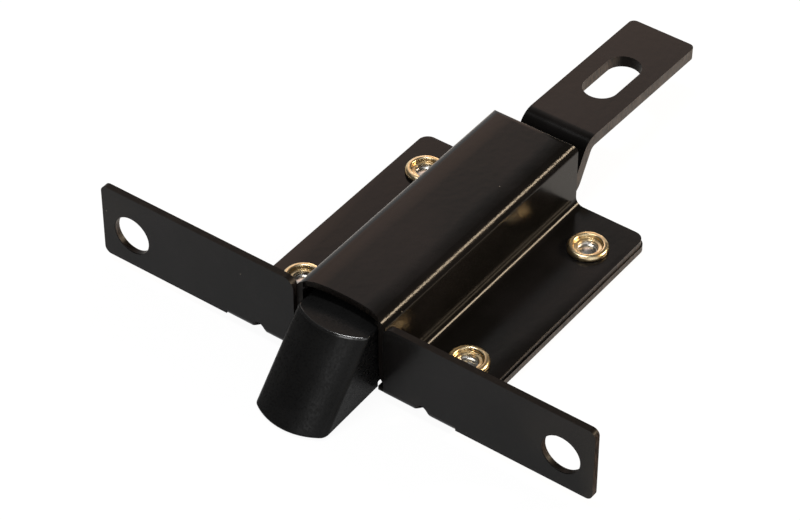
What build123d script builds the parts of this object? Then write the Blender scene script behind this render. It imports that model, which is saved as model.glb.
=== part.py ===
from build123d import *
import os

os.makedirs("parts", exist_ok=True)

# A spring bolt latch for a baggage door, in millimetres. X runs along the two ears,
# Y runs back from their front faces to the pull strap, and Z is up. The origin lies
# midway between the two ear holes, in the plane of the ears' front faces.

# Sheet steel of the mounting plate and the cover
sheet = 1.25
bend_inside = 0.4

# Ears of the mounting plate
ear_span = 101.6
ear_height = 15.05
ear_hole_edge = 6.35
ear_hole_diameter = 7.4
ear_hole_height = 6.7
ear_end_radius = 1.3
ear_notch_radius = 2.0

# Base of the mounting plate
base_drop = 0.7
base_overhang = 0.2
base_corner_radius = 2.0
base_notch_edge = 0.6
relief_spacing = 34.0
relief_diameter = 3.2

# Cover, a hat section with a closed rear end
cover_width = 18.05
cover_height = 16.15
cover_rear = 57.05
cover_recess = 0.7
cover_bend_outside = 2.05
cover_fold_outside = 1.65
cover_foot_inside = 1.6
flange_width = 47.4
flange_gap = 0.35
flange_rear_radius = 2.0
flange_front_chamfer = 2.4
scoop_side = 1.3
scoop_depth = 1.3
notch_clearance = 0.2

# Tubular rivets
rivet_front = 12.8
rivet_rear_edge = 8.65
rivet_off_middle = 0.2
rivet_shank_diameter = 4.76
rivet_ring_diameter = 7.4
rivet_ring_height = 1.1
rivet_lip_diameter = 4.9
rivet_step_depth = 0.7
rivet_bore_diameter = 3.6
rivet_bore_depth = 1.6
rivet_bore_dome = 0.35
rivet_roll_outside = 0.8
rivet_roll_inside = 0.4
rivet_head_diameter = 8.2
rivet_head_height = 0.9
rivet_head_edge = 0.5

# Latch bolt
bolt_travel = 12.7
bolt_side_clearance = 0.5
bolt_top_clearance = 1.75
bolt_slide_clearance = 0.15
nose_reach = 16.1
nose_lean = 12.35
nose_drop = 0.62
nose_fall = 0.95
nose_bulge_share = 0.167
nose_heel = 1.2
nose_slope_radius = 1.35
nose_lip_radius = 0.3
nose_crest_radius = 0.5
nose_slot_clearance = 0.5
nose_slot_radius = 1.5
bolt_rear = 34.0
shank_front = 6.0
shank_side_clearance = 0.2
shank_top_clearance = 0.25
shank_corner_radius = 0.9

# Pull strap
strap_side_clearance = 0.9
strap_thickness = 2.35
strap_end = 98.6
strap_rise = 7.75
tongue_fall = 1.05
strap_knee = 59.95
strap_rise_run = 4.3
strap_bend_inside = 1.4
strap_end_radius = 1.2
pull_slot_width = 6.75
pull_slot_length = 14.1
pull_slot_start = 74.45
hook_place = 21.4
hook_width = 9.0
hook_height = 8.2
hook_bend_inside = 1.0
hook_clearance = 0.15

# Stop lug, lanced up out of the base
lug_width = 4.0
lug_place = 39.0
lug_clearance = 0.05
lug_slot_clearance = 0.4
lug_below_strap_top = 0.15

# Bolt spring
spring_diameter = 7.4
spring_wire = 0.65
spring_turns = 11
spring_pocket_clearance = 0.3
spring_pocket_floor = 24.4
spring_seat_gap = 0.02

# Heights that follow
ear_low = -ear_hole_height
ear_top = ear_low + ear_height
base_under = ear_low - base_drop
base_top = base_under + sheet
base_middle = base_under + sheet / 2
flange_middle = base_top + sheet / 2
flange_top = base_top + sheet
cover_top = base_under + cover_height
cover_ceiling = cover_top - sheet

# Places that follow
bend_outside = bend_inside + sheet
bend_middle = bend_inside + sheet / 2
base_width = flange_width + 2 * base_overhang
base_rear = cover_rear + base_overhang
ear_length = (ear_span - base_width) / 2
ear_hole_spacing = ear_span - 2 * ear_hole_edge
notch_width = cover_width + 2 * notch_clearance
flange_front = bend_outside + flange_gap
wall_middle = (cover_width - sheet) / 2
rear_wall_face = cover_rear - sheet
scoop_width = cover_width - 2 * scoop_side
flange_flat = (flange_width - cover_width) / 2 - cover_foot_inside
rivet_spacing_x = flange_width - flange_flat + 2 * rivet_off_middle
rivet_spacing_y = cover_rear - rivet_rear_edge - rivet_front
rivet_middle = rivet_front + rivet_spacing_y / 2

# Bolt, strap and spring sizes that follow
cover_inside = cover_width - 2 * sheet
bolt_width = cover_inside - 2 * bolt_side_clearance
shank_width = cover_inside - 2 * shank_side_clearance
shank_top = cover_ceiling - shank_top_clearance
strap_width = cover_inside - 2 * strap_side_clearance
nose_bulge = nose_bulge_share * bolt_width
bolt_top = cover_ceiling - bolt_top_clearance
bolt_under = base_top + bolt_slide_clearance
nose_under = base_under - nose_drop
nose_slot_width = bolt_width + 2 * nose_slot_clearance
nose_slot_end = nose_heel + bolt_travel + nose_slot_clearance
strap_under = base_top + bolt_slide_clearance
strap_middle = strap_under + strap_thickness / 2
strap_top = strap_under + strap_thickness
recess_ceiling = strap_top + bolt_slide_clearance
hook_front = hook_place - strap_thickness / 2
lug_rear = lug_place + sheet / 2
lug_front = lug_place - sheet / 2
stop_slot_front = lug_front - bolt_travel - lug_clearance
stop_slot_rear = lug_rear + lug_clearance
rear_wall_low = strap_top + 2 * bolt_slide_clearance
lug_top = strap_top - lug_below_strap_top
window_length = lug_top - base_top + bend_outside
spring_height = (recess_ceiling + shank_top) / 2
spring_start = spring_pocket_floor + spring_seat_gap
spring_end = rear_wall_face - spring_seat_gap


# Mounting plate: base and upright bent from one sheet
with BuildPart() as mounting_plate:
    with BuildSketch(Plane.YZ) as plate_section:
        with BuildLine():
            FilletPolyline(
                (sheet / 2, ear_top),
                (sheet / 2, base_middle),
                (base_rear, base_middle),
                radius=bend_middle,
            )
        trace(line_width=sheet)
    extrude(amount=base_width / 2, both=True)
    with BuildSketch(Plane.XZ) as ear_blank:
        with Locations((0, (ear_low + ear_top) / 2)):
            with GridLocations(base_width + ear_length, 0, 2, 1):
                Rectangle(ear_length, ear_height)
    extrude(amount=-sheet)
    across = mounting_plate.edges().filter_by(Axis.Y).group_by(Axis.X)
    fillet(across[0] + across[-1], radius=ear_end_radius)
    base_corners = mounting_plate.edges().filter_by(Axis.Z).group_by(Axis.Y)[-1]
    fillet(base_corners, radius=base_corner_radius)

    # Notch between the ears for the cover
    with BuildSketch(Plane.XY.offset(base_top)) as notch_above:
        with Locations((0, bend_outside / 2)):
            Rectangle(notch_width, bend_outside)
    extrude(amount=ear_top - base_top, mode=Mode.SUBTRACT)
    with BuildSketch(Plane.XY.offset(base_under)) as notch_edge:
        with Locations((0, base_notch_edge / 2)):
            Rectangle(notch_width, base_notch_edge)
    extrude(amount=sheet + bend_outside, mode=Mode.SUBTRACT)
    notch_edges = mounting_plate.edges().filter_by(Axis.Y).group_by(Axis.Z)[-1]
    notch_corners = [e for e in notch_edges if abs(e.center().X) < notch_width]
    fillet(notch_corners, radius=ear_notch_radius)

    # Slot in the base that the nose of the bolt draws back into
    with BuildSketch(Plane.XY.offset(base_under)) as nose_slot:
        with Locations((0, (nose_slot_end - base_notch_edge) / 2)):
            RectangleRounded(nose_slot_width, nose_slot_end + base_notch_edge, nose_slot_radius)
        with Locations((0, nose_slot_end / 4)):
            Rectangle(nose_slot_width, nose_slot_end / 2)
    extrude(amount=sheet, mode=Mode.SUBTRACT)

    # Ear holes
    with BuildSketch(Plane.XZ) as ear_holes:
        with GridLocations(ear_hole_spacing, 0, 2, 1):
            Circle(ear_hole_diameter / 2)
    extrude(amount=-sheet, mode=Mode.SUBTRACT)

    # Round reliefs punched on the bend line
    relief_plane = Plane(origin=(0, 0, base_under), x_dir=(1, 0, 0), z_dir=(0, 1, 1))
    with BuildSketch(relief_plane) as reliefs:
        with GridLocations(relief_spacing, 0, 2, 1):
            Circle(relief_diameter / 2)
    extrude(amount=2 * bend_outside, both=True, mode=Mode.SUBTRACT)

    # Rivet holes
    with BuildSketch(Plane.XY.offset(base_under)) as base_rivet_holes:
        with Locations((0, rivet_middle)):
            with GridLocations(rivet_spacing_x, rivet_spacing_y, 2, 2):
                Circle(rivet_shank_diameter / 2)
    extrude(amount=sheet, mode=Mode.SUBTRACT)

    # Stop lug and the window that it was lanced from
    with BuildSketch(Plane.XY.offset(base_under)) as lug_window:
        with Locations((0, lug_rear + bend_inside - window_length / 2)):
            Rectangle(lug_width + 2 * lug_slot_clearance, window_length)
    extrude(amount=sheet, mode=Mode.SUBTRACT)
    with BuildSketch(Plane.YZ) as lug_section:
        with BuildLine():
            FilletPolyline(
                (lug_place, lug_top),
                (lug_place, base_middle),
                (lug_rear + 2 * bend_outside, base_middle),
                radius=bend_middle,
            )
        trace(line_width=sheet)
    extrude(amount=lug_width / 2, both=True)
mounting_plate.part.label = "mounting_plate"


# Cover: hat section with its flanges on the base and its rear end closed
with BuildPart() as cover:
    with BuildSketch(Plane.XZ.offset(-cover_recess)) as hat_section:
        with BuildLine():
            FilletPolyline(
                (-flange_width / 2, flange_middle),
                (-wall_middle, flange_middle),
                (-wall_middle, cover_top - sheet / 2),
                (wall_middle, cover_top - sheet / 2),
                (wall_middle, flange_middle),
                (flange_width / 2, flange_middle),
                radius=[
                    cover_foot_inside + sheet / 2,
                    cover_bend_outside - sheet / 2,
                    cover_bend_outside - sheet / 2,
                    cover_foot_inside + sheet / 2,
                ],
            )
        trace(line_width=sheet)
    extrude(amount=-(cover_rear - cover_recess))

    # The front end is trimmed to pass through the notch between the ears
    side_trim = (flange_width - cover_width) / 2
    with BuildSketch(Plane.XY.offset(base_top)) as front_trim:
        with Locations((0, flange_front / 2)):
            with GridLocations(cover_width + side_trim, 0, 2, 1):
                Rectangle(side_trim, flange_front)
    extrude(amount=cover_height, mode=Mode.SUBTRACT)

    # Flange corners
    corners = cover.edges().filter_by(Axis.Z).group_by(Axis.X)
    front_corners = ShapeList(corners[0].sort_by(Axis.Y)[:1] + corners[-1].sort_by(Axis.Y)[:1])
    chamfer(front_corners, length=flange_front_chamfer)
    corners = cover.edges().filter_by(Axis.Z).group_by(Axis.X)
    rear_corners = ShapeList(corners[0].sort_by(Axis.Y)[-1:] + corners[-1].sort_by(Axis.Y)[-1:])
    fillet(rear_corners, radius=flange_rear_radius)

    # Shallow scoop in the front edge of the top
    with BuildSketch(Plane.XY.offset(cover_ceiling)) as scoop:
        with Locations((0, cover_recess)):
            Ellipse(scoop_width / 2, scoop_depth)
    extrude(amount=sheet, mode=Mode.SUBTRACT)

    # Closed rear end, with the top rounded down into it
    with BuildSketch(Plane.XZ.offset(sheet - cover_rear)) as rear_wall:
        with Locations((0, (rear_wall_low + cover_ceiling) / 2)):
            Rectangle(cover_inside, cover_ceiling - rear_wall_low)
    extrude(amount=-sheet)
    with BuildSketch(Plane.YZ) as rear_rounding:
        with BuildLine():
            Polyline(
                (cover_rear - cover_fold_outside, cover_top),
                (cover_rear, cover_top),
                (cover_rear, cover_top - cover_fold_outside),
            )
            CenterArc(
                (cover_rear - cover_fold_outside, cover_top - cover_fold_outside),
                cover_fold_outside,
                0,
                90,
            )
        make_face()
    extrude(amount=cover_width / 2, both=True, mode=Mode.SUBTRACT)

    # Rivet holes
    with BuildSketch(Plane.XY.offset(base_top)) as flange_rivet_holes:
        with Locations((0, rivet_middle)):
            with GridLocations(rivet_spacing_x, rivet_spacing_y, 2, 2):
                Circle(rivet_shank_diameter / 2)
    extrude(amount=sheet, mode=Mode.SUBTRACT)
cover.part.label = "cover"


# Rivets: a flat head under the base, and a rolled ring on top of the flange
rivet_places = {
    "rivet_front_left": (-rivet_spacing_x / 2, rivet_front),
    "rivet_front_right": (rivet_spacing_x / 2, rivet_front),
    "rivet_rear_left": (-rivet_spacing_x / 2, rivet_front + rivet_spacing_y),
    "rivet_rear_right": (rivet_spacing_x / 2, rivet_front + rivet_spacing_y),
}
head_radius = rivet_head_diameter / 2
shank_radius = rivet_shank_diameter / 2
ring_radius = rivet_ring_diameter / 2
lip_radius = rivet_lip_diameter / 2
bore_radius = rivet_bore_diameter / 2
head_under = base_under - rivet_head_height
ring_top = flange_top + rivet_ring_height
bore_floor = ring_top - rivet_bore_depth
for rivet_name, (rivet_x, rivet_y) in rivet_places.items():
    rivet_plane = Plane(origin=(rivet_x, rivet_y, 0), x_dir=(1, 0, 0), z_dir=(0, -1, 0))
    with BuildPart() as rivet:
        with BuildSketch(rivet_plane) as rivet_section:
            with BuildLine():
                Polyline(
                    (0, bore_floor + rivet_bore_dome),
                    (0, head_under),
                    (head_radius, head_under),
                    (head_radius, base_under),
                    (shank_radius, base_under),
                    (shank_radius, flange_top),
                    (ring_radius, flange_top),
                    (ring_radius, ring_top),
                    (lip_radius, ring_top),
                    (lip_radius, ring_top - rivet_step_depth),
                    (bore_radius, ring_top - rivet_step_depth),
                    (bore_radius, bore_floor),
                )
                TangentArc((0, bore_floor + rivet_bore_dome), (bore_radius, bore_floor), tangent=(1, 0))
            make_face()
            head_edge = rivet_section.vertices().sort_by_distance((head_radius, head_under))[0]
            fillet(head_edge, radius=rivet_head_edge)
            roll_outside = rivet_section.vertices().sort_by_distance((ring_radius, ring_top))[0]
            fillet(roll_outside, radius=rivet_roll_outside)
            roll_inside = rivet_section.vertices().sort_by_distance((lip_radius, ring_top))[0]
            fillet(roll_inside, radius=rivet_roll_inside)
        revolve(axis=Axis((rivet_x, rivet_y, 0), (0, 0, 1)))
    rivet.part.label = rivet_name
    export_step(rivet.part, "parts/" + rivet_name + ".step")


# Latch bolt: the round front leans back with height, as an oblique cylinder
with BuildPart() as latch_bolt:
    bolt_height = bolt_top - nose_under
    slope_length = (bolt_height**2 + nose_lean**2) ** 0.5
    with BuildSketch(Plane.XY.offset(nose_under)) as nose_plan:
        with BuildLine():
            ThreePointArc(
                (-bolt_width / 2, nose_bulge - nose_reach),
                (0, -nose_reach),
                (bolt_width / 2, nose_bulge - nose_reach),
            )
            Polyline(
                (bolt_width / 2, nose_bulge - nose_reach),
                (bolt_width / 2, shank_front),
                (-bolt_width / 2, shank_front),
                (-bolt_width / 2, nose_bulge - nose_reach),
            )
        make_face()
    extrude(amount=slope_length, dir=(0, nose_lean, bolt_height))
    with BuildSketch(Plane.YZ) as behind:
        with Locations((shank_front + nose_lean / 2, (nose_under + bolt_top) / 2)):
            Rectangle(nose_lean, bolt_height)
    extrude(amount=bolt_width / 2, both=True, mode=Mode.SUBTRACT)

    # The underside falls a little towards the tip
    with BuildSketch(Plane.YZ) as under_fall:
        with BuildLine():
            Polyline(
                (-nose_reach, nose_under),
                (shank_front, nose_under),
                (shank_front, nose_under + nose_fall),
                close=True,
            )
        make_face()
    extrude(amount=bolt_width / 2, both=True, mode=Mode.SUBTRACT)

    # Rounded flanks, crest and lip of the nose
    leaning = latch_bolt.faces().filter_by(GeomType.PLANE, reverse=True).sort_by(SortBy.AREA)[-1]
    flank_edges = leaning.edges().filter_by(Axis.Z, reverse=True).filter_by(GeomType.LINE)
    fillet(flank_edges, radius=nose_slope_radius)

    top_edges = latch_bolt.faces().sort_by(Axis.Z)[-1].edges().sort_by(Axis.Y)[:-1]
    fillet(top_edges, radius=nose_crest_radius)
    under_edges = latch_bolt.faces().sort_by(Axis.Z)[0].edges().sort_by(Axis.Y)[:-1]
    fillet(under_edges, radius=nose_lip_radius)

    # The shank fills the cover, so that its roof and walls guide it
    with BuildSketch(Plane.YZ) as shank:
        with Locations(((shank_front + bolt_rear) / 2, (bolt_under + shank_top) / 2)):
            Rectangle(bolt_rear - shank_front, shank_top - bolt_under)
    extrude(amount=shank_width / 2, both=True)
    shank_corners = latch_bolt.edges().filter_by(Axis.Y).group_by(Axis.Z)[-1]
    fillet(shank_corners, radius=shank_corner_radius)

    # It rides above the base, and its rear above the strap
    with BuildSketch(Plane.YZ) as under_shank:
        with BuildLine():
            Polyline(
                (nose_heel, nose_under),
                (bolt_rear, nose_under),
                (bolt_rear, recess_ceiling),
                (hook_front - hook_clearance, recess_ceiling),
                (hook_front - hook_clearance, bolt_under),
                (nose_heel, bolt_under),
                close=True,
            )
        make_face()
    extrude(amount=shank_width / 2, both=True, mode=Mode.SUBTRACT)

    # Slot for the strap's hook
    with BuildSketch(Plane.XY.offset(recess_ceiling)) as hook_slot:
        with Locations((0, hook_place)):
            Rectangle(hook_width + 2 * hook_clearance, strap_thickness + 2 * hook_clearance)
    extrude(amount=hook_height + 2 * hook_clearance - strap_thickness, mode=Mode.SUBTRACT)
    slot_mouth = latch_bolt.edges(Select.LAST).filter_by(Axis.X).group_by(Axis.Z)[0]
    chamfer(slot_mouth.sort_by(Axis.Y)[-1], length=hook_bend_inside)

    # Pocket for the spring
    with BuildSketch(Plane.XZ.offset(-bolt_rear)) as spring_pocket:
        with Locations((0, spring_height)):
            Circle(spring_diameter / 2 + spring_pocket_clearance)
    extrude(amount=bolt_rear - spring_pocket_floor, mode=Mode.SUBTRACT)
latch_bolt.part.label = "latch_bolt"


# Pull strap: hooked up into the bolt, low on the base, then stepped up to its slot
with BuildPart() as pull_strap:
    with BuildSketch(Plane.YZ) as strap_section:
        with BuildLine():
            FilletPolyline(
                (hook_place, strap_under + hook_height),
                (hook_place, strap_middle),
                (strap_knee, strap_middle),
                (strap_knee + strap_rise_run, strap_middle + strap_rise),
                (strap_end, strap_middle + strap_rise - tongue_fall),
                radius=[
                    hook_bend_inside + strap_thickness / 2,
                    strap_bend_inside + strap_thickness / 2,
                    strap_bend_inside + strap_thickness / 2,
                ],
            )
        trace(line_width=strap_thickness)
    extrude(amount=strap_width / 2, both=True)
    end_face = pull_strap.faces().sort_by(Axis.Y)[-1]
    fillet(end_face.edges().filter_by(Axis.X, reverse=True), radius=strap_end_radius)

    # The hook is narrower than the strap
    hook_side = (strap_width - hook_width) / 2
    hook_neck = hook_place + strap_thickness / 2 + hook_bend_inside
    with BuildSketch(Plane.XY.offset(strap_under)) as hook_trim:
        with Locations((0, (hook_front + hook_neck) / 2)):
            with GridLocations(hook_width + hook_side, 0, 2, 1):
                Rectangle(hook_side, hook_neck - hook_front)
    extrude(amount=hook_height, mode=Mode.SUBTRACT)

    # Slot round the stop lug, as long as the travel
    with BuildSketch(Plane.XY.offset(strap_under)) as stop_slot:
        with Locations((0, (stop_slot_front + stop_slot_rear) / 2)):
            Rectangle(lug_width + 2 * lug_slot_clearance, stop_slot_rear - stop_slot_front)
    extrude(amount=strap_thickness, mode=Mode.SUBTRACT)

    # Slot for the pull rod or cable
    with BuildSketch(Plane.XY.offset(strap_under + strap_rise - tongue_fall)) as pull_slot:
        with Locations((0, pull_slot_start + pull_slot_length / 2)):
            SlotOverall(pull_slot_length, pull_slot_width, rotation=90)
    extrude(amount=strap_thickness + tongue_fall, mode=Mode.SUBTRACT)
pull_strap.part.label = "pull_strap"


# Bolt spring, with its ends ground flat
spring_length = spring_end - spring_start
spring_radius = (spring_diameter - spring_wire) / 2
spring_pitch = spring_length / spring_turns
coil = Helix(
    pitch=spring_pitch,
    height=spring_length,
    radius=spring_radius,
    center=(0, spring_start, spring_height),
    direction=(0, 1, 0),
)
with BuildPart() as bolt_spring:
    with BuildSketch(Plane(origin=coil @ 0, z_dir=coil % 0)) as wire_section:
        Circle(spring_wire / 2)
    sweep(path=coil)
    split(bisect_by=Plane.XZ.offset(-spring_start), keep=Keep.BOTTOM)
    split(bisect_by=Plane.XZ.offset(-spring_end), keep=Keep.TOP)
bolt_spring.part.label = "bolt_spring"


export_step(mounting_plate.part, "parts/mounting_plate.step")
export_step(cover.part, "parts/cover.step")
export_step(latch_bolt.part, "parts/latch_bolt.step")
export_step(pull_strap.part, "parts/pull_strap.step")
export_step(bolt_spring.part, "parts/bolt_spring.step")
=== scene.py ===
import math

import bmesh
import bpy
from mathutils import Matrix, Vector
from mathutils.bvhtree import BVHTree


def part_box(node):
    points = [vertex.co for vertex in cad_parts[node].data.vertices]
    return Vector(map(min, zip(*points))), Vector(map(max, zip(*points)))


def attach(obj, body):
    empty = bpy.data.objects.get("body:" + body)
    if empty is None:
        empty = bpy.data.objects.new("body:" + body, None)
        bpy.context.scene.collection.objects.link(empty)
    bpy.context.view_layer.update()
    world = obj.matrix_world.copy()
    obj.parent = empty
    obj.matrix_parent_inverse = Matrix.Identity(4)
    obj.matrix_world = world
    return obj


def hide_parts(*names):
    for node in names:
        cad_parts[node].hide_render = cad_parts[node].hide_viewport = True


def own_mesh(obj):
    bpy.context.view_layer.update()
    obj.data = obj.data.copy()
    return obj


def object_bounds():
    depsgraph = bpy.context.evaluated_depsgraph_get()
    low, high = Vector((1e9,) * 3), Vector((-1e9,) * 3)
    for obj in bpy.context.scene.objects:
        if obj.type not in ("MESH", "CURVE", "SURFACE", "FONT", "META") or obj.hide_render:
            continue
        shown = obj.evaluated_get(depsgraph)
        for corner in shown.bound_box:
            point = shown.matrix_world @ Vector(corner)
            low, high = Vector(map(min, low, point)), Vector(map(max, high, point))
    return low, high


# The finish and the small forms of a baggage door latch, in metres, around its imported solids.
# X runs along the ears, Y back to the pull strap, Z up.

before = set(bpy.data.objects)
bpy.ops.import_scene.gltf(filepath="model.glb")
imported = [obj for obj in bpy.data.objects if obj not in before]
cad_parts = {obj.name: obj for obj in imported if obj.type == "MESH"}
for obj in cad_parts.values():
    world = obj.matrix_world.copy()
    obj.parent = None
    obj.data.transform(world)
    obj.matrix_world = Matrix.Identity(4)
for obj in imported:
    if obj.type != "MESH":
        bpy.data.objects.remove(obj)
cad_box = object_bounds()

MM = 0.001

# Sheet steel, and how far its edges and the bolt's are rounded
SHEET = 1.25 * MM
STRAP = 2.35 * MM
SHEET_EDGE_ROUND = 0.16 * MM
STRAP_EDGE_ROUND = 0.22 * MM
BOLT_EDGE_ROUND = 0.25 * MM
ROUND_SEGMENTS = 3

# Which edges are rounded: sharp ones, unless an edge at their ends is shorter than so many roundings
SHARP_ANGLE = math.radians(38)
SHORT_EDGE = 2.2

# How a solid's triangles are joined, and which faces show the cut through a sheet
JOIN_DISTANCE = 0.0005 * MM
FLAT_ANGLE = math.radians(0.4)
JUST_INSIDE = 0.001 * MM
CUT_FACE_DEPTH = 1.25

# Slivers that fold back where a rounding ends
FOLD_ANGLE = math.radians(150)
FOLD_AREA = 0.07 * MM * MM
FOLD_LENGTH = 0.35 * MM
FOLD_ROUNDS = 3
NO_LENGTH = 0.002 * MM

# Section of a clinched rivet
HEAD_RADIUS = 4.1 * MM
RING_RADIUS = 3.7 * MM
SHANK_RADIUS = 2.38 * MM
LIP_RADIUS = 2.45 * MM
BORE_RADIUS = 1.8 * MM
BORE_DEPTH = 1.6 * MM
BORE_DOME = 0.35 * MM
STEP_DEPTH = 0.7 * MM
RING_HEIGHT = 1.1 * MM
HEAD_HEIGHT = 0.9 * MM
RIVET_SIDES = 72
ON_AXIS = 1e-9

# Dents that the clinching leaves in the rolled rings
DENT_SIZE = 1.6 * MM
DENT_DEPTH = 0.03 * MM
DENTS_FROM = 0.15 * MM
RIVET_SEED = 7

# Bolt spring
SPRING_WIRE = 0.65 * MM
SPRING_TURNS = 11
STEPS_A_TURN = 40
WIRE_SIDES = 14

# Bolt: its nose lies lower than the part that the cover guides, and its crest is burnished
NOSE_STEP = 1.5 * MM
CREST_STARTS_BELOW = (0.36 * MM, 0.24 * MM)
CREST_ENDS_BELOW = (0.004 * MM, 0.012 * MM)

# Where the cover's bends stretch the coat: out from the middle, down from the top, back from the ears
BEND_ACROSS = (7.7 * MM, 8.3 * MM)
BEND_BELOW_TOP = (1.85 * MM, 1.25 * MM)
BEND_BACK = (1.5 * MM, 2.0 * MM)

# The cover's top dips a little towards its side bends
DIP_ACROSS = (3.8 * MM, 7.0 * MM)
DIP_DEPTH = 0.14 * MM
DIP_BELOW_TOP = (0.19 * MM, 0.03 * MM)

# Patterns of the powder coat: rub marks, orange peel, grain and dust
RUB_SIZE = 14 * MM
PEEL_SIZE = 1.5 * MM
PEEL_DEPTH = 0.011 * MM
COAT_GRAIN_SIZE = 0.34 * MM
COAT_GRAIN_DEPTH = 0.0012 * MM
STRETCHED_GRAIN_DEPTH = 0.034 * MM
DUST_SPACING = 4.2 * MM
DUST_RADIUS = 0.13 * MM
DUST_CORE = 0.6
DUST_SHARE = 0.30

# Patterns of a sheared edge: scores across the sheet, and patches where the coat is thin
SCORE_SIZE = 0.22 * MM
SCORE_DEPTH = 0.006 * MM
SCORE_STRETCH = 0.12
THIN_PATCH_SIZE = 2.6 * MM

# Patterns of the moulded bolt: the mould's grain and pits, and the flow of the nylon
NYLON_GRAIN_SIZE = 0.42 * MM
NYLON_GRAIN_DEPTH = 0.015 * MM
NYLON_PIT_SIZE = 0.9 * MM
NYLON_PIT_DEPTH = 0.006 * MM
NYLON_FLOW_SIZE = 6 * MM

# Patterns of the rivets' plating, which is rubbed off in the bore
PLATING_DRIFT_SIZE = 1.8 * MM
PLATING_STAIN_SIZE = 0.7 * MM
PLATING_LUMP_SIZE = 0.8 * MM
PLATING_LUMP_DEPTH = 0.002 * MM
BARE_ABOVE_SEAT = (0.2 * MM, 0.05 * MM)

# Patterns of the spring wire
OIL_SIZE = 3 * MM
DRAWN_LINE_SIZE = 0.18 * MM
DRAWN_LINE_DEPTH = 0.004 * MM

# Camera, at the photograph's viewing angle
EYE = Vector((237.89, -305.18, 363.12)) * MM
LOOK_AT = Vector((0.04, 17.18, 5.71)) * MM
LENS = 144.374
SENSOR_WIDTH = 36.0
NEAREST_SEEN = 0.01

# Studio light: the room is white to the eye and in mirrors, and this bright on the latch
ROOM_LEVEL = 0.30

# Paper floor: how white it is, and how much of that the eye and the mirrors get
FLOOR_SIZE = 3.0
FLOOR_ROWS = 12
FLOOR_FIBRE_SIZE = 0.8 * MM
FLOOR_WHITE = 1.03
FLOOR_SEEN = 0.92
FLOOR_MIRRORED = 0.25

# Dome of black cloth, and the soft edges of its rear and front windows as parts of its radius
CLOTH_RADIUS = 2.2
CLOTH_SEGMENTS = (48, 24)
CLOTH_FOLD_SIZE = 300 * MM
WINDOW_TURN = math.radians(67)
WINDOW_OPEN = math.cos(math.radians(33))
WINDOW_SHUT = math.cos(math.radians(43))
WINDOW_START = (0.20, 0.40)
FRONT_WINDOW_SIDE = (0.25, 0.50)
FRONT_WINDOW_START = (0.10, -0.10)

# Black card on the floor to the right of the latch, painted shade on that floor for mirrors: its two
# corners, and its lift off the floor
CARD_CORNERS = ((0.030, 0.002), (0.60, 0.60))
CARD_LIFT = 0.3 * MM

# Soft boxes: where each one stands from the latch, how far off, its sides, watts, colour and turn
SOFT_BOXES = {
    "overhead_strip": ((-0.15, -0.08, 0.98), 0.9, (0.30, 0.10), 3.2, "#ffffff", (1.0, 0.0, 0.0)),
    "right_back_strip": ((0.657, 0.60, 0.457), 0.7, (0.14, 0.22), 4.6, "#ffe6c4", (0.7, 0.0, -0.7)),
    "back_strip": ((-0.44, 0.89, 0.06), 0.9, (0.10, 0.30), 0.8, "#ffd9b0", (0.0, 0.0, 1.0)),
    "rear_glow": ((-0.54, 0.66, 0.52), 1.0, (0.30, 0.60), 0.50, "#ffb078", (0.7, 0.0, 0.7)),
    "front_strip": ((0.07, -0.82, 0.57), 0.9, (0.34, 0.28), 0.9, "#ffffff", (0.0, 0.0, 1.0)),
}

# Kinds of node that come often
NOISE = "ShaderNodeTexNoise"
RANGE = "ShaderNodeMapRange"
MIX = "ShaderNodeMix"
MATH = "ShaderNodeMath"
VECTOR_MATH = "ShaderNodeVectorMath"
SPLIT = "ShaderNodeSeparateXYZ"
BUMP = "ShaderNodeBump"
SURFACE = "ShaderNodeBsdfPrincipled"
OUTPUT = "ShaderNodeOutputMaterial"


def linear(hex_colour):
    """An sRGB hex colour as linear red, green, blue and alpha."""
    parts = [int(hex_colour[i:i + 2], 16) / 255 for i in (1, 3, 5)]
    return [c / 12.92 if c <= 0.04045 else ((c + 0.055) / 1.055) ** 2.4 for c in parts] + [1.0]


def add_node(tree, kind, values=None, **settings):
    """Add a node with its settings, its values and its links. A node given as a value is linked
    from its first output in use, and a hex colour is turned to linear."""
    made = tree.nodes.new(kind)
    for name, setting in settings.items():
        setattr(made, name, setting)
    for key, value in (values or {}).items():
        if isinstance(key, int):
            taker = made.inputs[key]
        else:
            taker = next(s for s in made.inputs if s.enabled and s.name == key)
        if isinstance(value, bpy.types.Node):
            value = next(s for s in value.outputs if s.enabled)
        if isinstance(value, bpy.types.NodeSocket):
            tree.links.new(value, taker)
        elif isinstance(value, str):
            taker.default_value = linear(value)
        else:
            taker.default_value = value
    return made


def new_material(name):
    """A material with an empty tree, and object coordinates in metres."""
    material = bpy.data.materials.new(name)
    material.use_nodes = True
    tree = material.node_tree
    tree.nodes.clear()
    return material, tree, add_node(tree, "ShaderNodeTexCoord").outputs["Object"]


# Coated steel
def make_powder_coat():
    """Gloss black powder coat on sheet steel: deep black that mirrors softly, with a slight
    orange peel, a little dust and rub marks that dull it in places."""
    material, tree, place = new_material("gloss_black_powder_coat")
    rubs = add_node(tree, NOISE, {"Vector": place, "Scale": 1 / RUB_SIZE, "Detail": 4.0})
    rubs_and_sheen = add_node(tree, RANGE, {"Value": rubs, "From Min": 0.42, "From Max": 0.70})
    coat = add_node(tree, MIX, {"Factor": rubs_and_sheen, "A": "#0e0d0c", "B": "#151313"}, data_type="RGBA")
    dust = coat_dust(tree, place)
    dusty = add_node(tree, MIX, {"Factor": dust, "A": coat, "B": "#6f6a62"}, data_type="RGBA")
    shader = add_node(tree, SURFACE, {
        "Base Color": dusty,
        "Roughness": add_node(tree, RANGE, {"Value": rubs_and_sheen, "To Min": 0.17, "To Max": 0.25}),
        "Normal": coat_relief(tree, place),
        "IOR": 1.5,
        "Specular IOR Level": 0.14,
    })
    add_node(tree, OUTPUT, {"Surface": shader})
    return material


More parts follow.
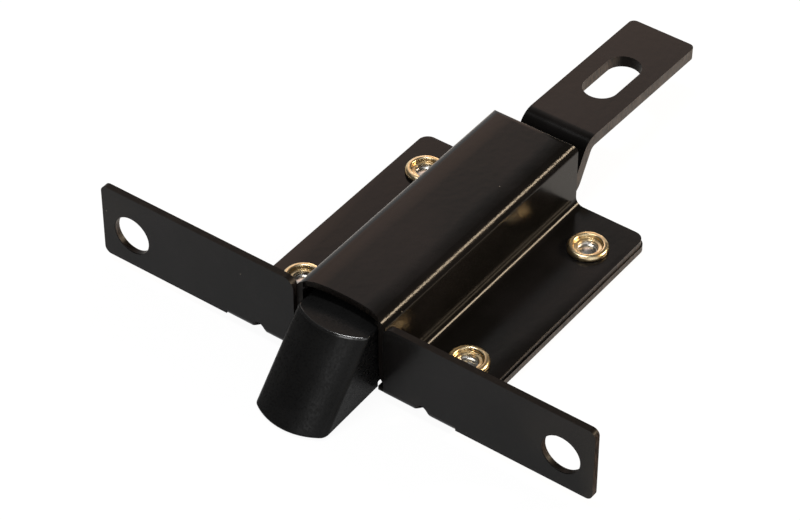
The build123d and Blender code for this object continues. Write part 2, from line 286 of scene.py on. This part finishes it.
def coat_dust(tree, place):
    """Sparse round specks of dust: only some of the cells hold one."""
    cells = add_node(tree, "ShaderNodeTexVoronoi", {"Vector": place, "Scale": 1 / DUST_SPACING})
    speck = add_node(tree, RANGE, {
        "Value": cells.outputs["Distance"],
        "From Min": DUST_RADIUS / DUST_SPACING,
        "From Max": DUST_CORE * DUST_RADIUS / DUST_SPACING,
    })
    pick = add_node(tree, "ShaderNodeSeparateColor", {"Color": cells.outputs["Color"]})
    chosen = add_node(tree, MATH, {0: pick.outputs["Red"], 1: DUST_SHARE}, operation="LESS_THAN")
    return add_node(tree, MATH, {0: speck, 1: chosen}, operation="MULTIPLY")


def coat_relief(tree, place):
    """Orange peel and a fine grain over the cover's dipped top. The grain is drawn coarser than
    a real coat's, so that it shows on the bends."""
    lumps = add_node(tree, NOISE, {"Vector": place, "Scale": 1 / PEEL_SIZE, "Detail": 1.0})
    peel = add_node(tree, BUMP, {
        "Height": lumps, "Distance": PEEL_DEPTH, "Normal": dipped_top(tree, place),
    })
    grains = add_node(tree, NOISE, {"Vector": place, "Scale": 1 / COAT_GRAIN_SIZE, "Detail": 2.0})
    depth = add_node(tree, RANGE, {
        "Value": stretched_coat(tree, place), "To Min": COAT_GRAIN_DEPTH, "To Max": STRETCHED_GRAIN_DEPTH,
    })
    return add_node(tree, BUMP, {"Height": grains, "Distance": depth, "Normal": peel})


def dipped_top(tree, place):
    """The slow roll of the cover's top into its bends, as a relief."""
    parts = add_node(tree, SPLIT, {"Vector": place}).outputs
    across = add_node(tree, MATH, {0: parts["X"]}, operation="ABSOLUTE")
    way = add_node(tree, RANGE, {
        "Value": across, "From Min": DIP_ACROSS[0], "From Max": DIP_ACROSS[1],
    }, clamp=False)
    rolling = add_node(tree, MATH, {0: way, 1: 0.0}, operation="MAXIMUM")
    dip = add_node(tree, MATH, {0: rolling, 1: rolling}, operation="MULTIPLY")
    on_top = add_node(tree, RANGE, {
        "Value": parts["Z"],
        "From Min": cover_top - DIP_BELOW_TOP[0],
        "From Max": cover_top - DIP_BELOW_TOP[1],
    })
    return add_node(tree, BUMP, {"Height": dip, "Distance": DIP_DEPTH, "Strength": on_top}, invert=True)


def stretched_coat(tree, place):
    """One on the outer bends of the cover, and nought elsewhere."""
    parts = add_node(tree, SPLIT, {"Vector": place}).outputs
    across = add_node(tree, MATH, {0: parts["X"]}, operation="ABSOLUTE")
    bend_up = [cover_top - depth for depth in BEND_BELOW_TOP]
    side, top, back = (
        add_node(tree, RANGE, {"Value": part, "From Min": nought, "From Max": full})
        for part, (nought, full) in ((across, BEND_ACROSS), (parts["Z"], bend_up), (parts["Y"], BEND_BACK))
    )
    corner = add_node(tree, MATH, {0: side, 1: top}, operation="MULTIPLY")
    return add_node(tree, MATH, {0: corner, 1: back}, operation="MULTIPLY")


def make_sheared_edge():
    """The same coat where it runs thin over a sheared edge: rougher, and scored across the sheet by the
    tool.
    Faces that look sideways along X are painted a lighter, scored brown and get more gloss: a painted
    sheen for the white floor that they mirror."""
    material, tree, place = new_material("thin_coat_on_sheared_edge")
    drawn_out = add_node(tree, "ShaderNodeMapping", {"Vector": place, "Scale": (1.0, 1.0, SCORE_STRETCH)})
    scores = add_node(tree, NOISE, {"Vector": drawn_out, "Scale": 1 / SCORE_SIZE, "Detail": 3.0})
    scored = add_node(tree, RANGE, {"Value": scores, "From Min": 0.35, "From Max": 0.68})
    black = add_node(tree, MIX, {"Factor": scored, "A": "#080706", "B": "#1c1814"}, data_type="RGBA")
    patches = add_node(tree, NOISE, {"Vector": place, "Scale": 1 / THIN_PATCH_SIZE, "Detail": 3.0})
    thin = add_node(tree, RANGE, {"Value": patches, "From Min": 0.35, "From Max": 0.7})
    coat = add_node(tree, MIX, {"Factor": thin, "A": black, "B": "#0f0c0b"}, data_type="RGBA")
    # Faces that look along X get a lighter brown: painted sheen for the floor they mirror
    facing = add_node(tree, "ShaderNodeNewGeometry").outputs["Normal"]
    sideways = add_node(tree, SPLIT, {"Vector": facing}).outputs["X"]
    either_way = add_node(tree, MATH, {0: sideways}, operation="ABSOLUTE")
    side = add_node(tree, RANGE, {"Value": either_way, "From Min": 0.6, "From Max": 0.95})
    bright = add_node(tree, RANGE, {"Value": scores, "From Min": 0.40, "From Max": 0.62})
    # Painted sheen on the sideways faces, scored lighter and darker
    rubs_and_sheen = add_node(tree, MIX, {"Factor": bright, "A": "#15110f", "B": "#3a302a"}, data_type="RGBA")
    colour = add_node(tree, MIX, {"Factor": side, "A": coat, "B": rubs_and_sheen}, data_type="RGBA")
    shader = add_node(tree, SURFACE, {
        "Base Color": colour,
        "Roughness": add_node(tree, RANGE, {
            "Value": patches, "From Min": 0.3, "From Max": 0.7, "To Min": 0.38, "To Max": 0.52,
        }),
        "Normal": add_node(tree, BUMP, {"Height": scores, "Distance": SCORE_DEPTH}),
        "IOR": 1.5,
        "Specular IOR Level": add_node(tree, RANGE, {"Value": side, "To Min": 0.08, "To Max": 0.38}),
    })
    add_node(tree, OUTPUT, {"Surface": shader})
    return material


# Bolt, rivets and spring
def make_moulded_nylon():
    """Black nylon, moulded with a spark-eroded grain that glitters where the light grazes it, and
    burnished along the crest by the striker. The grain is drawn coarser than the real one's, so
    that it shows."""
    material, tree, place = new_material("moulded_black_nylon")
    streaks = add_node(tree, NOISE, {"Vector": place, "Scale": 1 / NYLON_FLOW_SIZE, "Detail": 2.0})
    flow = add_node(tree, RANGE, {"Value": streaks, "From Min": 0.35, "From Max": 0.7})
    black = add_node(tree, MIX, {"Factor": flow, "A": "#131313", "B": "#191919"}, data_type="RGBA")
    grain = add_node(tree, NOISE, {"Vector": place, "Scale": 1 / NYLON_GRAIN_SIZE, "Detail": 3.0})
    pits = add_node(tree, NOISE, {"Vector": place, "Scale": 1 / NYLON_PIT_SIZE, "Detail": 2.0})
    grained = add_node(tree, BUMP, {"Height": grain, "Distance": NYLON_GRAIN_DEPTH})
    height = add_node(tree, SPLIT, {"Vector": place}).outputs["Z"]
    starts, ends = (
        add_node(tree, RANGE, {"Value": height, "From Min": nose_top - nought, "From Max": nose_top - full})
        for nought, full in (CREST_STARTS_BELOW, CREST_ENDS_BELOW)
    )
    crest = add_node(tree, MATH, {0: starts, 1: ends}, operation="MULTIPLY")
    dull = add_node(tree, RANGE, {
        "Value": grain, "From Min": 0.35, "From Max": 0.65, "To Min": 0.24, "To Max": 0.40,
    })
    shader = add_node(tree, SURFACE, {
        "Base Color": black,
        "Roughness": add_node(tree, MIX, {"Factor": crest, "A": dull, "B": 0.16}),
        "Normal": add_node(tree, BUMP, {"Height": pits, "Distance": NYLON_PIT_DEPTH, "Normal": grained}),
        "IOR": 1.53,
        "Specular IOR Level": add_node(tree, RANGE, {"Value": crest, "To Min": 0.10, "To Max": 0.8}),
    })
    add_node(tree, OUTPUT, {"Surface": shader})
    return material


def make_yellow_zinc():
    """Yellow passivated zinc plate on the steel rivets: bright pale gold with a faint drift
    of colour and a few stains, and bare steel down in the bore."""
    material, tree, place = new_material("yellow_passivated_zinc")
    drifting = add_node(tree, NOISE, {"Vector": place, "Scale": 1 / PLATING_DRIFT_SIZE, "Detail": 3.0})
    drift = add_node(tree, RANGE, {"Value": drifting, "From Min": 0.35, "From Max": 0.68})
    gold = add_node(tree, MIX, {"Factor": drift, "A": "#ead7b0", "B": "#cdb183"}, data_type="RGBA")
    stains = add_node(tree, NOISE, {"Vector": place, "Scale": 1 / PLATING_STAIN_SIZE, "Detail": 3.0})
    stained = add_node(tree, RANGE, {"Value": stains, "From Min": 0.60, "From Max": 0.80})
    plated = add_node(tree, MIX, {"Factor": stained, "A": gold, "B": "#8d7355"}, data_type="RGBA")
    bare = add_node(tree, RANGE, {
        "Value": add_node(tree, SPLIT, {"Vector": place}).outputs["Z"],
        "From Min": rivet_seat + BARE_ABOVE_SEAT[0],
        "From Max": rivet_seat + BARE_ABOVE_SEAT[1],
    })
    colour = add_node(tree, MIX, {"Factor": bare, "A": plated, "B": "#c4c1bb"}, data_type="RGBA")
    lumps = add_node(tree, NOISE, {"Vector": place, "Scale": 1 / PLATING_LUMP_SIZE, "Detail": 1.0})
    shader = add_node(tree, SURFACE, {
        "Base Color": colour,
        "Metallic": 1.0,
        "Roughness": add_node(tree, RANGE, {"Value": drift, "To Min": 0.24, "To Max": 0.34}),
        "Normal": add_node(tree, BUMP, {"Height": lumps, "Distance": PLATING_LUMP_DEPTH}),
    })
    add_node(tree, OUTPUT, {"Surface": shader})
    return material


def make_spring_steel():
    """Bright drawn spring wire: grey steel with fine drawing lines and a trace of oil."""
    material, tree, place = new_material("drawn_spring_wire")
    wet = add_node(tree, NOISE, {"Vector": place, "Scale": 1 / OIL_SIZE, "Detail": 3.0})
    oil = add_node(tree, RANGE, {"Value": wet, "From Min": 0.4, "From Max": 0.7})
    grey = add_node(tree, MIX, {"Factor": oil, "A": "#b4b3b0", "B": "#8e8880"}, data_type="RGBA")
    lines = add_node(tree, NOISE, {"Vector": place, "Scale": 1 / DRAWN_LINE_SIZE, "Detail": 3.0})
    shader = add_node(tree, SURFACE, {
        "Base Color": grey,
        "Metallic": 1.0,
        "Roughness": add_node(tree, RANGE, {
            "Value": lines, "From Min": 0.3, "From Max": 0.7, "To Min": 0.22, "To Max": 0.36,
        }),
        "Normal": add_node(tree, BUMP, {"Height": lines, "Distance": DRAWN_LINE_DEPTH}),
    })
    add_node(tree, OUTPUT, {"Surface": shader})
    return material


# Studio materials
def rays_that_see_white(tree):
    """One for camera, glossy and transmission rays, and nought for the light on the latch."""
    ray = add_node(tree, "ShaderNodeLightPath").outputs
    either = add_node(tree, MATH, {0: ray["Is Camera Ray"], 1: ray["Is Glossy Ray"]}, operation="MAXIMUM")
    return add_node(tree, MATH, {0: either, 1: ray["Is Transmission Ray"]}, operation="MAXIMUM")


def make_studio_floor():
    """Matt white paper: the eye sees a plain white ground with the latch's soft shadow."""
    material, tree, place = new_material("matt_white_paper")
    fibre = add_node(tree, NOISE, {"Vector": place, "Scale": 1 / FLOOR_FIBRE_SIZE, "Detail": 2.0})
    colour = add_node(tree, MIX, {"Factor": fibre, "A": "#f7f7f7", "B": "#fbfbfb"}, data_type="RGBA")
    paper = add_node(tree, "ShaderNodeBsdfDiffuse", {"Color": colour})
    white = add_node(tree, "ShaderNodeEmission", {"Color": "#ffffff", "Strength": FLOOR_WHITE})
    eye = add_node(tree, "ShaderNodeLightPath").outputs["Is Camera Ray"]
    seen = add_node(tree, RANGE, {"Value": eye, "To Max": FLOOR_SEEN})
    mirrored = add_node(tree, RANGE, {"Value": rays_that_see_white(tree), "To Max": FLOOR_MIRRORED})
    share = add_node(tree, MATH, {0: seen, 1: mirrored}, operation="MAXIMUM")
    ground = add_node(tree, "ShaderNodeMixShader", {0: share, 1: paper, 2: white})
    add_node(tree, OUTPUT, {"Surface": ground})
    return material


def make_black_cloth():
    """Matt black cloth round the floor, with soft-edged windows to the rear left and the front
    right: the coat mirrors it as the dark parts of the cover and the bolt."""
    material, tree, place = new_material("matt_black_cloth")
    unit = add_node(tree, VECTOR_MATH, {0: place}, operation="NORMALIZE")
    parts = add_node(tree, SPLIT, {"Vector": unit}).outputs
    opening = add_node(tree, MATH, {
        0: rear_window(tree, place, parts["Y"]), 1: front_window(tree, parts["X"], parts["Y"]),
    }, operation="MAXIMUM")
    folds = add_node(tree, NOISE, {"Vector": place, "Scale": 1 / CLOTH_FOLD_SIZE, "Detail": 2.0})
    folded = add_node(tree, RANGE, {"Value": folds, "From Min": 0.3, "From Max": 0.7})
    grey = add_node(tree, MIX, {"Factor": folded, "A": "#404040", "B": "#525150"}, data_type="RGBA")
    cloth = add_node(tree, "ShaderNodeEmission", {"Color": grey, "Strength": 1.0})
    clear = add_node(tree, "ShaderNodeBsdfTransparent")
    hung = add_node(tree, "ShaderNodeMixShader", {0: opening, 1: cloth, 2: clear})
    add_node(tree, OUTPUT, {"Surface": hung})
    return material


def rear_window(tree, place, back):
    """One in a sector round the Y axis, turned to the left, from its start on to the rear."""
    upright = add_node(tree, VECTOR_MATH, {0: place, 1: (1, 0, 1)}, operation="MULTIPLY")
    turned = add_node(tree, VECTOR_MATH, {0: upright}, operation="NORMALIZE")
    middle = (-math.sin(WINDOW_TURN), 0, math.cos(WINDOW_TURN))
    facing = add_node(tree, VECTOR_MATH, {0: turned, 1: middle}, operation="DOT_PRODUCT")
    width = add_node(tree, RANGE, {"Value": facing, "From Min": WINDOW_SHUT, "From Max": WINDOW_OPEN})
    length = add_node(tree, RANGE, {
        "Value": back, "From Min": WINDOW_START[0], "From Max": WINDOW_START[1],
    })
    return add_node(tree, MATH, {0: width, 1: length}, operation="MULTIPLY")


def front_window(tree, across, back):
    """One in the corner to the front and to the right."""
    right, front = (
        add_node(tree, RANGE, {"Value": part, "From Min": nought, "From Max": full})
        for part, (nought, full) in ((across, FRONT_WINDOW_SIDE), (back, FRONT_WINDOW_START))
    )
    return add_node(tree, MATH, {0: right, 1: front}, operation="MULTIPLY")


# Making objects and meshes
def add_object(name, data):
    """A new object in the scene."""
    made = bpy.data.objects.new(name, data)
    bpy.context.scene.collection.objects.link(made)
    return made


def mesh_of(name, shape):
    """The shape as a named mesh; the shape itself is given up."""
    mesh = bpy.data.meshes.new(name)
    shape.to_mesh(mesh)
    shape.free()
    return mesh


def make_plain(piece):
    """Turn the evaluated object into a plain mesh and drop its modifiers."""
    bpy.context.view_layer.update()
    graph = bpy.context.evaluated_depsgraph_get()
    mesh = bpy.data.meshes.new_from_object(
        piece.evaluated_get(graph), preserve_all_data_layers=True, depsgraph=graph
    )
    piece.modifiers.clear()
    piece.data = mesh
    mesh.name = piece.name


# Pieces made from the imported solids
def merged_copy(node_name):
    """The solid's triangles as one joined mesh."""
    shape = bmesh.new()
    shape.from_mesh(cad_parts[node_name].data)
    bmesh.ops.remove_doubles(shape, verts=shape.verts, dist=JOIN_DISTANCE)
    shape.normal_update()
    return shape


def mark_cut_faces(shape, thickness):
    """Material 1 goes to the faces that have more than the sheet's thickness behind them."""
    tree = BVHTree.FromBMesh(shape)
    for face in shape.faces:
        start = face.calc_center_median() - face.normal * JUST_INSIDE
        behind = tree.ray_cast(start, -face.normal)[3]
        through = behind is not None and behind < CUT_FACE_DEPTH * thickness
        face.material_index = 0 if through else 1


def mark_sharp_edges(shape, edge_round):
    """Sharp edges get a rounding, but not where the edges around an end are too short for one."""
    weight = shape.edges.layers.float.new("bevel_weight_edge")
    short = {v for e in shape.edges if e.calc_length() < SHORT_EDGE * edge_round for v in e.verts}
    for edge in shape.edges:
        sharp = len(edge.link_faces) == 2 and edge.calc_face_angle() > SHARP_ANGLE
        rounded = sharp and not short.intersection(edge.verts)
        edge[weight] = 1.0 if rounded else 0.0
        edge.smooth = rounded or not sharp


def close_folds(mesh):
    """Draw together the slivers that a rounding folds back where it ends."""
    shape = bmesh.new()
    shape.from_mesh(mesh)
    for _ in range(FOLD_ROUNDS):
        folded = [e for e in shape.edges if len(e.link_faces) == 2 and e.calc_face_angle() > FOLD_ANGLE]
        slivers = {f for e in folded for f in e.link_faces if f.calc_area() < FOLD_AREA}
        rims = [
            e for e in shape.edges if slivers.intersection(e.link_faces) and e.calc_length() < FOLD_LENGTH
        ]
        if not rims:
            break
        bmesh.ops.collapse(shape, edges=rims)
    bmesh.ops.dissolve_degenerate(shape, edges=shape.edges, dist=NO_LENGTH)
    shape.to_mesh(mesh)
    shape.free()


def finished_solid(name, node_name, materials, edge_round, thickness=None):
    """A solid with its flat faces joined and its sharp edges rounded."""
    shape = merged_copy(node_name)
    if thickness:
        mark_cut_faces(shape, thickness)
    bmesh.ops.dissolve_limit(
        shape, angle_limit=FLAT_ANGLE, verts=shape.verts, edges=shape.edges, delimit={"MATERIAL"}
    )
    mark_sharp_edges(shape, edge_round)
    for face in shape.faces:
        face.smooth = True
    piece = add_object(name, mesh_of(name, shape))
    for material in materials:
        piece.data.materials.append(material)
    rounding = piece.modifiers.new("edge_round", "BEVEL")
    rounding.width = edge_round
    rounding.segments = ROUND_SEGMENTS
    rounding.limit_method = "WEIGHT"
    rounding.use_clamp_overlap = False
    make_plain(piece)
    close_folds(piece.data)
    flats = piece.modifiers.new("flat_normals", "WEIGHTED_NORMAL")
    flats.mode = "FACE_AREA"
    flats.weight = 100
    flats.keep_sharp = True
    make_plain(piece)
    return piece


def add_sheet_piece(name, node_name, body, thickness, edge_round):
    """A coated steel sheet, with the thin coat on its cut faces."""
    piece = finished_solid(name, node_name, [powder_coat, sheared_edge], edge_round, thickness)
    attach(piece, body)
    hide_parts(node_name)


def add_bolt():
    """The moulded bolt with its slanted nose."""
    piece = finished_solid("moulded_bolt", "latch_bolt", [moulded_nylon], BOLT_EDGE_ROUND)
    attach(piece, "bolt")
    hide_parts("latch_bolt")


# Pieces wound and set by geometry nodes
def node_group(name, inputs):
    """A geometry tree with the named inputs, and what they give."""
    tree = bpy.data.node_groups.new(name, "GeometryNodeTree")
    tree.interface.new_socket(name="Geometry", in_out="INPUT", socket_type="NodeSocketGeometry")
    tree.interface.new_socket(name="Geometry", in_out="OUTPUT", socket_type="NodeSocketGeometry")
    for label, kind in inputs.items():
        tree.interface.new_socket(name=label, in_out="INPUT", socket_type=kind)
    return tree, add_node(tree, "NodeGroupInput").outputs


def run_group(piece, tree, values):
    """Put the tree on the piece, set its inputs by their identifiers, and keep the plain mesh."""
    modifier = piece.modifiers.new(tree.name, "NODES")
    modifier.node_group = tree
    for item in tree.interface.items_tree:
        if item.item_type == "SOCKET" and item.in_out == "INPUT" and item.name in values:
            modifier[item.identifier] = values[item.name]
    make_plain(piece)


def rounded_path(corners, steps=6):
    """A line through corners (x, z, radius), each rounded by an arc of that radius."""
    points = []
    for i, (x, z, radius) in enumerate(corners):
        here = Vector((x, z))
        if radius == 0 or i in (0, len(corners) - 1):
            points.append(here)
            continue
        before = (Vector(corners[i - 1][:2]) - here).normalized()
        after = (Vector(corners[i + 1][:2]) - here).normalized()
        half = before.angle(after) / 2
        middle = here + (before + after).normalized() * radius / math.sin(half)
        start = here + before * radius / math.tan(half) - middle
        end = here + after * radius / math.tan(half) - middle
        turn = start.angle_signed(end)
        for step in range(steps + 1):
            angle = -turn * step / steps
            c, s = math.cos(angle), math.sin(angle)
            points.append(middle + Vector((c * start.x - s * start.y, s * start.x + c * start.y)))
    return points


def rivet_section():
    """Half of a rivet's section, from the bore's floor over the ring to the head below."""
    sheets = -2 * SHEET
    floor = RING_HEIGHT - BORE_DEPTH
    dome = [(BORE_RADIUS * t, floor + BORE_DOME * (1 - t * t), 0) for t in (0.0, 0.25, 0.5, 0.75)]
    return rounded_path(dome + [
        (BORE_RADIUS, floor, 0),
        (BORE_RADIUS, RING_HEIGHT - STEP_DEPTH, 0.12 * MM),
        (LIP_RADIUS, RING_HEIGHT - STEP_DEPTH, 0.08 * MM),
        (LIP_RADIUS, RING_HEIGHT, 0.45 * MM),
        (RING_RADIUS, RING_HEIGHT, 0.72 * MM),
        (RING_RADIUS, 0, 0.28 * MM),
        (SHANK_RADIUS, 0, 0),
        (SHANK_RADIUS, sheets, 0),
        (HEAD_RADIUS, sheets, 0.15 * MM),
        (HEAD_RADIUS, sheets - HEAD_HEIGHT, 0.5 * MM),
        (0, sheets - HEAD_HEIGHT, 0),
    ])


def rivet_mesh():
    """One rivet turned about Z, its ring's seat at height 0."""
    shape = bmesh.new()
    angles = [2 * math.pi * k / RIVET_SIDES for k in range(RIVET_SIDES)]
    rings = []
    for radius, height in rivet_section():
        if radius < ON_AXIS:
            rings.append([shape.verts.new((0, 0, height))])
        else:
            rings.append([
                shape.verts.new((radius * math.cos(a), radius * math.sin(a), height)) for a in angles
            ])
    for low, high in zip(rings, rings[1:]):
        for k in range(RIVET_SIDES):
            n = k + 1
            around = [low[k % len(low)], low[n % len(low)], high[n % len(high)], high[k % len(high)]]
            shape.faces.new(list(dict.fromkeys(around)))
    bmesh.ops.recalc_face_normals(shape, faces=shape.faces)
    for face in shape.faces:
        face.smooth = True
    return mesh_of("rivet_turned", shape)


def rivet_tree():
    """One rivet at each corner of a grid, each turned and dented a little differently."""
    tree, given = node_group("clinch_rivets", {
        "Spacing X": "NodeSocketFloat",
        "Spacing Y": "NodeSocketFloat",
        "Middle": "NodeSocketVector",
        "Unevenness": "NodeSocketFloat",
        "Finish": "NodeSocketMaterial",
    })
    grid = add_node(tree, "GeometryNodeMeshGrid", {
        "Size X": given["Spacing X"], "Size Y": given["Spacing Y"], "Vertices X": 2, "Vertices Y": 2,
    })
    holes = add_node(tree, "GeometryNodeTransform", {"Geometry": grid, "Translation": given["Middle"]})
    turn = add_node(tree, "FunctionNodeRandomValue", {
        "Min": (0, 0, 0), "Max": (0, 0, 2 * math.pi), "Seed": RIVET_SEED,
    }, data_type="FLOAT_VECTOR")
    rivets = add_node(tree, "GeometryNodeInstanceOnPoints", {
        "Points": holes, "Instance": given["Geometry"], "Rotation": turn,
    })
    real = add_node(tree, "GeometryNodeRealizeInstances", {"Geometry": rivets})
    place = add_node(tree, "GeometryNodeInputPosition")
    wander = add_node(tree, NOISE, {"Vector": place, "Scale": 1 / DENT_SIZE, "Detail": 1.0})
    centred = add_node(tree, VECTOR_MATH, {
        0: wander.outputs["Color"], 1: (0.5, 0.5, 0.5),
    }, operation="SUBTRACT")
    dent = add_node(tree, VECTOR_MATH, {0: centred, "Scale": given["Unevenness"]}, operation="SCALE")
    up = add_node(tree, SPLIT, {"Vector": place}).outputs["Z"]
    on_ring = add_node(tree, MATH, {0: up, 1: rivet_seat + DENTS_FROM}, operation="GREATER_THAN")
    dented = add_node(tree, "GeometryNodeSetPosition", {
        "Geometry": real, "Selection": on_ring, "Offset": dent,
    })
    plated = add_node(tree, "GeometryNodeSetMaterial", {"Geometry": dented, "Material": given["Finish"]})
    add_node(tree, "NodeGroupOutput", {"Geometry": plated})
    return tree


def add_rivets():
    """Four clinched rivets through the cover's flanges and the base."""
    piece = add_object("clinched_rivets", rivet_mesh())
    run_group(piece, rivet_tree(), {
        "Spacing X": rivet_spacing[0],
        "Spacing Y": rivet_spacing[1],
        "Middle": (0, rivet_middle, rivet_seat),
        "Unevenness": DENT_DEPTH,
        "Finish": yellow_zinc,
    })
    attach(piece, "frame")
    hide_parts("rivet_front_left", "rivet_front_right", "rivet_rear_left", "rivet_rear_right")


def spring_tree():
    """A wound wire with its ends ground flat, laid along Y from a start."""
    tree, given = node_group("wind_spring", {
        "Turns": "NodeSocketFloat",
        "Radius": "NodeSocketFloat",
        "Length": "NodeSocketFloat",
        "Wire": "NodeSocketFloat",
        "Start": "NodeSocketVector",
        "Finish": "NodeSocketMaterial",
    })
    coil = add_node(tree, "GeometryNodeCurveSpiral", {
        "Resolution": STEPS_A_TURN, "Rotations": given["Turns"], "Start Radius": given["Radius"],
        "End Radius": given["Radius"], "Height": given["Length"],
    })
    wire = add_node(tree, "GeometryNodeCurvePrimitiveCircle", {
        "Resolution": WIRE_SIDES, "Radius": given["Wire"],
    })
    wound = add_node(tree, "GeometryNodeCurveToMesh", {
        "Curve": coil, "Profile Curve": wire, "Fill Caps": True,
    })
    parts = add_node(tree, SPLIT, {"Vector": add_node(tree, "GeometryNodeInputPosition")}).outputs
    ground = add_node(tree, "ShaderNodeClamp", {"Value": parts["Z"], "Min": 0.0, "Max": given["Length"]})
    flat = add_node(tree, "ShaderNodeCombineXYZ", {"X": parts["X"], "Y": parts["Y"], "Z": ground})
    seated = add_node(tree, "GeometryNodeSetPosition", {"Geometry": wound, "Position": flat})
    laid = add_node(tree, "GeometryNodeTransform", {
        "Geometry": seated, "Translation": given["Start"], "Rotation": (-math.pi / 2, 0, 0),
    })
    smooth = add_node(tree, "GeometryNodeSetShadeSmooth", {"Geometry": laid})
    real = add_node(tree, "GeometryNodeRealizeInstances", {"Geometry": smooth})
    bright = add_node(tree, "GeometryNodeSetMaterial", {"Geometry": real, "Material": given["Finish"]})
    add_node(tree, "NodeGroupOutput", {"Geometry": bright})
    return tree


def add_spring():
    """The bolt's compression spring, wound at one length; the real one shortens as the bolt is drawn back.
    """
    low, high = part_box("bolt_spring")
    length = high.y - low.y
    start = ((low.x + high.x) / 2, low.y, (low.z + high.z) / 2)
    piece = add_object("coil_spring", bpy.data.meshes.new("coil_spring"))
    run_group(piece, spring_tree(), {
        "Turns": float(SPRING_TURNS),
        "Radius": (high.x - low.x - SPRING_WIRE) / 2,
        "Length": length,
        "Wire": SPRING_WIRE / 2,
        "Start": start,
        "Finish": spring_steel,
    })
    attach(piece, "frame")
    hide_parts("bolt_spring")
    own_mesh(piece)


# Studio
def add_floor():
    """White paper under the latch."""
    shape = bmesh.new()
    bmesh.ops.create_grid(shape, x_segments=FLOOR_ROWS, y_segments=FLOOR_ROWS, size=FLOOR_SIZE)
    mesh = mesh_of("paper_floor", shape)
    mesh.transform(Matrix.Translation((0, 0, floor_height)))
    mesh.materials.append(make_studio_floor())
    add_object("paper_floor", mesh)


def add_cloth():
    """A dome of black cloth that only mirrored rays meet, so it takes no light from the latch."""
    shape = bmesh.new()
    around, up = CLOTH_SEGMENTS
    bmesh.ops.create_uvsphere(shape, u_segments=around, v_segments=up, radius=CLOTH_RADIUS)
    stage_for_mirrors("black_cloth", mesh_of("black_cloth", shape))


def add_card():
    """A black card on the floor beside the latch, met by mirrored rays alone: painted shade on the floor as
    the latch mirrors it.
    """
    (left, front), (right, back) = CARD_CORNERS
    corners = [(left, front), (right, front), (right, back), (left, back)]
    mesh = bpy.data.meshes.new("right_card")
    mesh.from_pydata([(x, y, floor_height + CARD_LIFT) for x, y in corners], [], [(0, 1, 2, 3)])
    stage_for_mirrors("right_card", mesh)


def stage_for_mirrors(name, mesh):
    """Stage black cloth that throws no shade on the latch and that the camera looks through."""
    mesh.materials.append(black_cloth)
    cloth = add_object(name, mesh)
    cloth.visible_camera = False
    cloth.visible_diffuse = False
    cloth.visible_shadow = False
    cloth.visible_transmission = False


def add_soft_box(name, towards, distance, size, power, colour, along):
    """A soft box that looks at the latch from the direction `towards`, its first side `along`."""
    data = bpy.data.lights.new(name, "AREA")
    data.shape = "RECTANGLE"
    data.size, data.size_y = size
    data.energy = power
    data.color = linear(colour)[:3]
    light = add_object(name, data)
    direction = Vector(towards).normalized()
    light.location = LOOK_AT + direction * distance
    across = direction.cross(Vector(along)).normalized()
    turned = Matrix((across.cross(direction), across, direction)).transposed()
    light.rotation_euler = turned.to_euler()


def set_world():
    """White to the eye and in mirrors, and dimmer where it lights the latch."""
    world = bpy.data.worlds.new("white_studio")
    world.use_nodes = True
    tree = world.node_tree
    tree.nodes.clear()
    level = add_node(tree, RANGE, {"Value": rays_that_see_white(tree), "To Min": ROOM_LEVEL})
    room = add_node(tree, "ShaderNodeBackground", {"Color": "#ffffff", "Strength": level})
    add_node(tree, "ShaderNodeOutputWorld", {"Surface": room})
    bpy.context.scene.world = world


def add_camera():
    """The camera that sees the latch as the photograph does."""
    data = bpy.data.cameras.new("camera")
    data.sensor_fit = "HORIZONTAL"
    data.sensor_width = SENSOR_WIDTH
    data.lens = LENS
    data.clip_start = NEAREST_SEEN
    camera = add_object("camera", data)
    camera.location = EYE
    camera.rotation_euler = (LOOK_AT - EYE).to_track_quat("-Z", "Y").to_euler()
    bpy.context.scene.camera = camera


# Places that come from the frame
rivet_low, rivet_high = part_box("rivet_front_left")
rear_low, rear_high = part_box("rivet_rear_right")
rivet_seat = rivet_high.z - RING_HEIGHT
rivet_middle = (rivet_low.y + rear_high.y) / 2
rivet_spacing = (rear_low.x - rivet_low.x, rear_low.y - rivet_low.y)
nose_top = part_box("latch_bolt")[1].z - NOSE_STEP
cover_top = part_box("cover")[1].z
floor_height = cad_box[0][2]

powder_coat = make_powder_coat()
sheared_edge = make_sheared_edge()
moulded_nylon = make_moulded_nylon()
yellow_zinc = make_yellow_zinc()
spring_steel = make_spring_steel()
black_cloth = make_black_cloth()

add_sheet_piece("bent_mounting_plate", "mounting_plate", "frame", SHEET, SHEET_EDGE_ROUND)
add_sheet_piece("pressed_cover", "cover", "frame", SHEET, SHEET_EDGE_ROUND)
add_sheet_piece("stepped_pull_strap", "pull_strap", "bolt", STRAP, STRAP_EDGE_ROUND)
add_bolt()
add_rivets()
add_spring()

add_floor()
set_world()
add_cloth()
add_card()
for box_name, soft_box in SOFT_BOXES.items():
    add_soft_box(box_name, *soft_box)
add_camera()

bpy.context.scene.view_settings.view_transform = "Standard"
